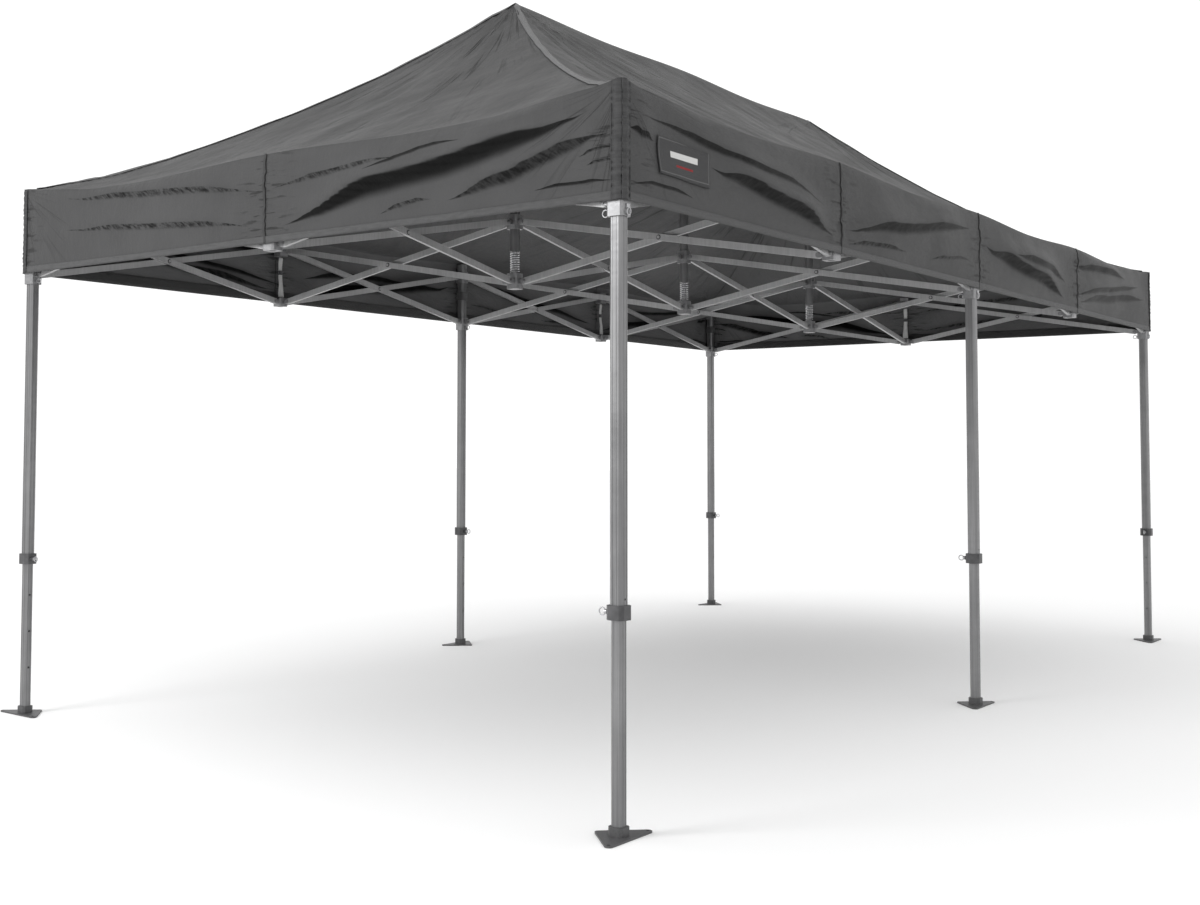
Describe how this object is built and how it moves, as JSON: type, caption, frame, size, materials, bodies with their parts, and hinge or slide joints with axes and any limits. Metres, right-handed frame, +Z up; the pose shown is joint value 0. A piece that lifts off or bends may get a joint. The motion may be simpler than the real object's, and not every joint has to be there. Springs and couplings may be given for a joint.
{
  "type": "folding pop-up canopy tent",
  "caption": "Folding pop-up canopy: fabric hip roof with a deep valance on a scissor frame, telescoping legs, sprung ridge posts and peg plates.",
  "frame": {"origin": "on the floor, in the middle of the footprint", "axes": "+X along the long side, +Y along the short side, +Z up"},
  "size_m": [6.242, 3.168, 3.165],
  "materials": {
    "canopy_fabric": "matt coated polyester",
    "bar_aluminium": "satin anodised",
    "leg_aluminium": "satin anodised",
    "hub_casting": "cast, tumbled",
    "dark_plastic": "moulded",
    "pin_steel": "zinc plated",
    "spring_steel": "zinc plated wire",
    "foot_steel": "powder coated"
  },
  "bodies": {
    "column_1": {"column_1_upper_hubs": "hub_casting", "column_1_cross_bars": "bar_aluminium", "column_1_upper_legs": "leg_aluminium", "column_1_leg_clamps": "dark_plastic"},
    "sliders_1": {"column_1_lower_hubs": "hub_casting"},
    "column_2": {"column_2_upper_hubs": "hub_casting", "column_2_cross_bars": "bar_aluminium"},
    "sliders_2": {"column_2_lower_hubs": "hub_casting", "post_spring_2": "spring_steel"},
    "column_3": {"column_3_upper_hubs": "hub_casting", "column_3_cross_bars": "bar_aluminium", "column_3_upper_legs": "leg_aluminium", "column_3_leg_clamps": "dark_plastic", "canopy": "canopy_fabric"},
    "sliders_3": {"column_3_lower_hubs": "hub_casting", "post_spring_3": "spring_steel"},
    "column_4": {"column_4_upper_hubs": "hub_casting", "column_4_cross_bars": "bar_aluminium"},
    "sliders_4": {"column_4_lower_hubs": "hub_casting", "post_spring_4": "spring_steel"},
    "column_5": {"column_5_upper_hubs": "hub_casting", "column_5_cross_bars": "bar_aluminium", "column_5_upper_legs": "leg_aluminium", "column_5_leg_clamps": "dark_plastic"},
    "sliders_5": {"column_5_lower_hubs": "hub_casting"},
    "ridge_post_2": {"ridge_post_2": "leg_aluminium"},
    "ridge_post_3": {"ridge_post_3": "leg_aluminium"},
    "ridge_post_4": {"ridge_post_4": "leg_aluminium"},
    "bay_1_falling": {"bay_1_falling_bars": "bar_aluminium"},
    "bay_1_rising": {"bay_1_rising_bars": "bar_aluminium"},
    "bay_2_falling": {"bay_2_falling_bars": "bar_aluminium"},
    "bay_2_rising": {"bay_2_rising_bars": "bar_aluminium"},
    "bay_3_falling": {"bay_3_falling_bars": "bar_aluminium"},
    "bay_3_rising": {"bay_3_rising_bars": "bar_aluminium"},
    "bay_4_falling": {"bay_4_falling_bars": "bar_aluminium"},
    "bay_4_rising": {"bay_4_rising_bars": "bar_aluminium"},
    "lower_leg_1_near": {"lower_leg_1_near": "leg_aluminium", "foot_1_near": "foot_steel"},
    "leg_pin_1_near": {"leg_pin_1_near": "pin_steel"},
    "slider_pin_1_near": {"slider_pin_1_near": "pin_steel"},
    "lower_leg_1_far": {"lower_leg_1_far": "leg_aluminium", "foot_1_far": "foot_steel"},
    "leg_pin_1_far": {"leg_pin_1_far": "pin_steel"},
    "slider_pin_1_far": {"slider_pin_1_far": "pin_steel"},
    "lower_leg_3_near": {"lower_leg_3_near": "leg_aluminium", "foot_3_near": "foot_steel"},
    "leg_pin_3_near": {"leg_pin_3_near": "pin_steel"},
    "slider_pin_3_near": {"slider_pin_3_near": "pin_steel"},
    "lower_leg_3_far": {"lower_leg_3_far": "leg_aluminium", "foot_3_far": "foot_steel"},
    "leg_pin_3_far": {"leg_pin_3_far": "pin_steel"},
    "slider_pin_3_far": {"slider_pin_3_far": "pin_steel"},
    "lower_leg_5_near": {"lower_leg_5_near": "leg_aluminium", "foot_5_near": "foot_steel"},
    "leg_pin_5_near": {"leg_pin_5_near": "pin_steel"},
    "slider_pin_5_near": {"slider_pin_5_near": "pin_steel"},
    "lower_leg_5_far": {"lower_leg_5_far": "leg_aluminium", "foot_5_far": "foot_steel"},
    "leg_pin_5_far": {"leg_pin_5_far": "pin_steel"},
    "slider_pin_5_far": {"slider_pin_5_far": "pin_steel"}
  },
  "joints": [
    {"name": "frame_fold", "type": "hinge", "parent": "column_3", "child": "bay_3_falling", "pos_m": [0.046, 0, 2.165], "axis": [0, 1, 0], "range_deg": [0, 75]},
    {"name": "bay_3_crossing", "type": "hinge", "parent": "bay_3_falling", "child": "bay_3_rising", "pos_m": [0.75, 0, 2.0325], "axis": [0, 1, 0], "range_deg": [-150, 0]},
    {"name": "column_4_hub_pivot", "type": "hinge", "parent": "bay_3_rising", "child": "column_4", "pos_m": [1.454, 0, 2.165], "axis": [0, 1, 0], "range_deg": [0, 75]},
    {"name": "sliders_3_pivot", "type": "hinge", "parent": "bay_3_rising", "child": "sliders_3", "pos_m": [0.046, 0, 1.9], "axis": [0, 1, 0], "range_deg": [0, 75]},
    {"name": "sliders_4_pivot", "type": "hinge", "parent": "bay_3_falling", "child": "sliders_4", "pos_m": [1.454, 0, 1.9], "axis": [0, 1, 0], "range_deg": [-75, 0]},
    {"name": "bay_4_pivot", "type": "hinge", "parent": "column_4", "child": "bay_4_falling", "pos_m": [1.546, 0, 2.165], "axis": [0, 1, 0], "range_deg": [0, 75]},
    {"name": "bay_4_crossing", "type": "hinge", "parent": "bay_4_falling", "child": "bay_4_rising", "pos_m": [2.25, 0, 2.0325], "axis": [0, 1, 0], "range_deg": [-150, 0]},
    {"name": "column_5_hub_pivot", "type": "hinge", "parent": "bay_4_rising", "child": "column_5", "pos_m": [2.954, 0, 2.165], "axis": [0, 1, 0], "range_deg": [0, 75]},
    {"name": "sliders_5_pivot", "type": "hinge", "parent": "bay_4_falling", "child": "sliders_5", "pos_m": [2.954, 0, 1.9], "axis": [0, 1, 0], "range_deg": [-75, 0]},
    {"name": "bay_2_pivot", "type": "hinge", "parent": "column_3", "child": "bay_2_rising", "pos_m": [-0.046, 0, 2.165], "axis": [0, -1, 0], "range_deg": [0, 75]},
    {"name": "bay_2_crossing", "type": "hinge", "parent": "bay_2_rising", "child": "bay_2_falling", "pos_m": [-0.75, 0, 2.0325], "axis": [0, -1, 0], "range_deg": [-150, 0]},
    {"name": "column_2_hub_pivot", "type": "hinge", "parent": "bay_2_falling", "child": "column_2", "pos_m": [-1.454, 0, 2.165], "axis": [0, -1, 0], "range_deg": [0, 75]},
    {"name": "sliders_2_pivot", "type": "hinge", "parent": "bay_2_rising", "child": "sliders_2", "pos_m": [-1.454, 0, 1.9], "axis": [0, -1, 0], "range_deg": [-75, 0]},
    {"name": "bay_1_pivot", "type": "hinge", "parent": "column_2", "child": "bay_1_rising", "pos_m": [-1.546, 0, 2.165], "axis": [0, -1, 0], "range_deg": [0, 75]},
    {"name": "bay_1_crossing", "type": "hinge", "parent": "bay_1_rising", "child": "bay_1_falling", "pos_m": [-2.25, 0, 2.0325], "axis": [0, -1, 0], "range_deg": [-150, 0]},
    {"name": "column_1_hub_pivot", "type": "hinge", "parent": "bay_1_falling", "child": "column_1", "pos_m": [-2.954, 0, 2.165], "axis": [0, -1, 0], "range_deg": [0, 75]},
    {"name": "sliders_1_pivot", "type": "hinge", "parent": "bay_1_rising", "child": "sliders_1", "pos_m": [-2.954, 0, 1.9], "axis": [0, -1, 0], "range_deg": [-75, 0]},
    {"name": "ridge_post_2_spring", "type": "slide", "parent": "sliders_2", "child": "ridge_post_2", "axis": [0, 0, 1], "range_m": [-0.05, 0], "stiffness_N_per_m": 2500, "springref_m": 0.02, "deforming": ["post_spring_2"]},
    {"name": "ridge_post_3_spring", "type": "slide", "parent": "sliders_3", "child": "ridge_post_3", "axis": [0, 0, 1], "range_m": [-0.05, 0], "stiffness_N_per_m": 2500, "springref_m": 0.02, "deforming": ["post_spring_3"]},
    {"name": "ridge_post_4_spring", "type": "slide", "parent": "sliders_4", "child": "ridge_post_4", "axis": [0, 0, 1], "range_m": [-0.05, 0], "stiffness_N_per_m": 2500, "springref_m": 0.02, "deforming": ["post_spring_4"]},
    {"name": "lower_leg_1_near_slide", "type": "slide", "parent": "column_1", "child": "lower_leg_1_near", "axis": [0, 0, 1], "range_m": [-0.31, 0.6]},
    {"name": "leg_pin_1_near_pull", "type": "slide", "parent": "column_1", "child": "leg_pin_1_near", "axis": [0, 1, 0], "range_m": [0, 0.008], "stiffness_N_per_m": 900, "springref_m": -0.012},
    {"name": "slider_pin_1_near_pull", "type": "slide", "parent": "sliders_1", "child": "slider_pin_1_near", "axis": [0, 1, 0], "range_m": [0, 0.008], "stiffness_N_per_m": 900, "springref_m": -0.012},
    {"name": "lower_leg_1_far_slide", "type": "slide", "parent": "column_1", "child": "lower_leg_1_far", "axis": [0, 0, 1], "range_m": [-0.31, 0.6]},
    {"name": "leg_pin_1_far_pull", "type": "slide", "parent": "column_1", "child": "leg_pin_1_far", "axis": [0, -1, 0], "range_m": [0, 0.008], "stiffness_N_per_m": 900, "springref_m": -0.012},
    {"name": "slider_pin_1_far_pull", "type": "slide", "parent": "sliders_1", "child": "slider_pin_1_far", "axis": [0, -1, 0], "range_m": [0, 0.008], "stiffness_N_per_m": 900, "springref_m": -0.012},
    {"name": "lower_leg_3_near_slide", "type": "slide", "parent": "column_3", "child": "lower_leg_3_near", "axis": [0, 0, 1], "range_m": [-0.31, 0.6]},
    {"name": "leg_pin_3_near_pull", "type": "slide", "parent": "column_3", "child": "leg_pin_3_near", "axis": [0, 1, 0], "range_m": [0, 0.008], "stiffness_N_per_m": 900, "springref_m": -0.012},
    {"name": "slider_pin_3_near_pull", "type": "slide", "parent": "sliders_3", "child": "slider_pin_3_near", "axis": [0, 1, 0], "range_m": [0, 0.008], "stiffness_N_per_m": 900, "springref_m": -0.012},
    {"name": "lower_leg_3_far_slide", "type": "slide", "parent": "column_3", "child": "lower_leg_3_far", "axis": [0, 0, 1], "range_m": [-0.31, 0.6]},
    {"name": "leg_pin_3_far_pull", "type": "slide", "parent": "column_3", "child": "leg_pin_3_far", "axis": [0, -1, 0], "range_m": [0, 0.008], "stiffness_N_per_m": 900, "springref_m": -0.012},
    {"name": "slider_pin_3_far_pull", "type": "slide", "parent": "sliders_3", "child": "slider_pin_3_far", "axis": [0, -1, 0], "range_m": [0, 0.008], "stiffness_N_per_m": 900, "springref_m": -0.012},
    {"name": "lower_leg_5_near_slide", "type": "slide", "parent": "column_5", "child": "lower_leg_5_near", "axis": [0, 0, 1], "range_m": [-0.31, 0.6]},
    {"name": "leg_pin_5_near_pull", "type": "slide", "parent": "column_5", "child": "leg_pin_5_near", "axis": [-1, 0, 0], "range_m": [0, 0.008], "stiffness_N_per_m": 900, "springref_m": -0.012},
    {"name": "slider_pin_5_near_pull", "type": "slide", "parent": "sliders_5", "child": "slider_pin_5_near", "axis": [0, 1, 0], "range_m": [0, 0.008], "stiffness_N_per_m": 900, "springref_m": -0.012},
    {"name": "lower_leg_5_far_slide", "type": "slide", "parent": "column_5", "child": "lower_leg_5_far", "axis": [0, 0, 1], "range_m": [-0.31, 0.6]},
    {"name": "leg_pin_5_far_pull", "type": "slide", "parent": "column_5", "child": "leg_pin_5_far", "axis": [0, -1, 0], "range_m": [0, 0.008], "stiffness_N_per_m": 900, "springref_m": -0.012},
    {"name": "slider_pin_5_far_pull", "type": "slide", "parent": "sliders_5", "child": "slider_pin_5_far", "axis": [0, -1, 0], "range_m": [0, 0.008], "stiffness_N_per_m": 900, "springref_m": -0.012}
  ],
  "couplings": [
    {"joint": "bay_3_crossing", "follows": "frame_fold", "ratio": -2},
    {"joint": "column_4_hub_pivot", "follows": "frame_fold", "ratio": 1},
    {"joint": "sliders_3_pivot", "follows": "frame_fold", "ratio": 1},
    {"joint": "sliders_4_pivot", "follows": "frame_fold", "ratio": -1},
    {"joint": "bay_4_pivot", "follows": "frame_fold", "ratio": 1},
    {"joint": "bay_4_crossing", "follows": "frame_fold", "ratio": -2},
    {"joint": "column_5_hub_pivot", "follows": "frame_fold", "ratio": 1},
    {"joint": "sliders_5_pivot", "follows": "frame_fold", "ratio": -1},
    {"joint": "bay_2_pivot", "follows": "frame_fold", "ratio": 1},
    {"joint": "bay_2_crossing", "follows": "frame_fold", "ratio": -2},
    {"joint": "column_2_hub_pivot", "follows": "frame_fold", "ratio": 1},
    {"joint": "sliders_2_pivot", "follows": "frame_fold", "ratio": -1},
    {"joint": "bay_1_pivot", "follows": "frame_fold", "ratio": 1},
    {"joint": "bay_1_crossing", "follows": "frame_fold", "ratio": -2},
    {"joint": "column_1_hub_pivot", "follows": "frame_fold", "ratio": 1},
    {"joint": "sliders_1_pivot", "follows": "frame_fold", "ratio": -1}
  ]
}
